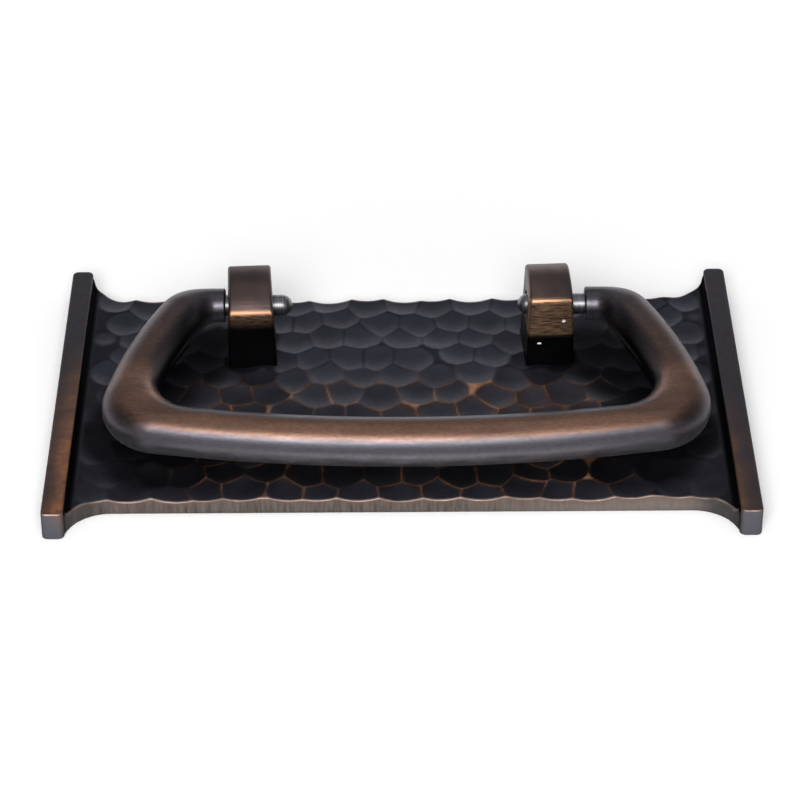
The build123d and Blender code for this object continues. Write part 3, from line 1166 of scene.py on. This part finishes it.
x, y, _ = places_of(bail).T
from_middle = np.abs(x - bail_shift)
along = from_middle - bail_end
facing = outward @ np.array([0.0, -math.cos(rub_lean), math.sin(rub_lean)])
past_corner = np.hypot((from_middle - corner_x) / corner_wide, (y - corner_y) / corner_long)
corner_rub = (1 - between(past_corner, *corner_fade)) * between(outward[:, 2], *corner_up)
corner_rub = corner_rub * np.where(x < 0, 1.0, right_corner)
bail_rub = np.maximum(grip_share * between(facing, *grip_band) * wear, corner_share * corner_rub)
keep_share(bail, "rub", bail_rub)
keep_share(bail, "warm", between(facing, *warm_band) * wear)
arm_top = between(outward[:, 2], *arm_up) * between(along, *arm_along)
keep_share(bail, "arm", arm_top * (1 - between(wear, *arm_until)))
# Painted highlight: the ends get a slightly lighter, bluer paint.
keep_share(bail, "end", 1 - between(along, *end_along))
# Painted shade: the inside of the arms is painted black.
inner_arm_shade = between(inside, *inner_side) * between(along, *inner_along)
keep_share(bail, "inside", inner_arm_shade * (1 - between(wear, *inner_until)))
seam = between(inside, *seam_side) * between(along, *seam_along)
keep_share(bail, "seam", seam * (1 - between(wear, *seam_until)))
# Painted reflection: the lower front of the bail is painted pale grey for the white floor it mirrors.
floor_reflection = between(-outward[:, 2], *under_down) * between(-outward[:, 1], *under_front)
keep_share(bail, "floor_reflection", floor_reflection * (under_arm + (1 - under_arm) * wear))
print("rubbed points:", int((bail_rub > 0.3).sum()), "on the bail")

# %% [markdown]
# The bail's finish is laid on in layers: dark metal first, then the painted shade inside the arms, the
# painted floor reflection below and the painted highlight on the ends, then brown and copper where hands
# rub, as on the real bail. A fine speckle keeps it satin, and a thin clear coat stands for the wax. A smooth
# colour alone would look like plastic.

# %% Finish of the bail
bail_dark = (0.076, 0.070, 0.083)
bail_violet = (0.102, 0.092, 0.105)
# A slightly lighter, bluer paint that stands in for the highlight on the ends.
end_highlight_violet = (0.092, 0.087, 0.101)
# Pale grey of the painted floor reflection.
floor_reflection_grey = (0.70, 0.68, 0.74)
seam_grey = (0.34, 0.32, 0.32)
arm_brown = (0.097, 0.073, 0.078)
grip_copper = (0.50, 0.270, 0.185)
seam_share = 0.6
speckle_share = 0.28
bail_shine = (0.85, 0.85, 0.85, 1)
bail_rough = (0.36, 0.46)
speckle_depth = 0.006 * mm


def bail_finish():
    material, tree, shader, place = finish("bail_bronze", coat=0.15, coat_roughness=0.3)
    slow = cloud(tree, place, 70.0)
    brushed = cloud(tree, place, 1500.0, stretch=(0.08, 1, 1), detail=3.0, span=(0.3, 0.7))
    blotch = cloud(tree, place, 260.0, stretch=(0.35, 1, 1), detail=5.0, span=(0.3, 0.62))
    speckle = cloud(tree, place, 2400.0, stretch=(0.4, 1, 1), detail=2.0, span=(0.3, 0.7))
    colour = blend_colour(tree, slow, bail_dark, bail_violet)
    # Painted highlight on the ends, painted reflection of the floor on the lower front, painted shade inside
    # the arms.
    colour = layered(tree, colour, ("end", end_highlight_violet), ("floor_reflection", floor_reflection_grey), ("inside", black_oil_and_shade))
    colour = layered(tree, colour, ("seam", seam_grey, seam_share), ("arm", arm_brown), ("warm", oil_brown))
    colour = layered(tree, colour, ("rub", grip_copper, spread(tree, blotch, 0.6, 1.0)))
    colour = blend_colour(tree, sums(tree, "MULTIPLY", speckle, speckle_share), colour, black_oil_and_shade)
    shader.inputs["Specular Tint"].default_value = bail_shine
    surface(tree, shader, colour, spread(tree, brushed, *bail_rough), speckle, speckle_depth)
    return material


dress(bail, bail_finish())
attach(bail, "bail")
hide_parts("bail")
print("bail finish:", bail.data.materials[0].name)

# %% [markdown]
# The pins are plain turned steel, darkened by the same oil. They could be turned again here, but the
# packed pins are smooth enough to keep, so they only get a finish: rings of fine tool marks round the
# axis, from noise stretched across it.

# %% Pins
pin_dark = (0.10, 0.10, 0.107)
pin_grey = (0.27, 0.27, 0.285)
pin_rough = (0.36, 0.46)
tool_depth = 0.004 * mm


def pin_finish():
    material, tree, shader, place = finish("pin_steel", coat=0.1)
    tool_marks = cloud(tree, place, 5200.0, stretch=(1, 0.04, 0.04), detail=2.0, span=(0.3, 0.7))
    colour = blend_colour(tree, tool_marks, pin_dark, pin_grey)
    surface(tree, shader, colour, spread(tree, tool_marks, *pin_rough), tool_marks, tool_depth)
    return material


steel = pin_finish()
for name in ("pivot_pin_left", "pivot_pin_right"):
    dress(frame["nodes"][name], steel)
print("pin finish:", steel.name)
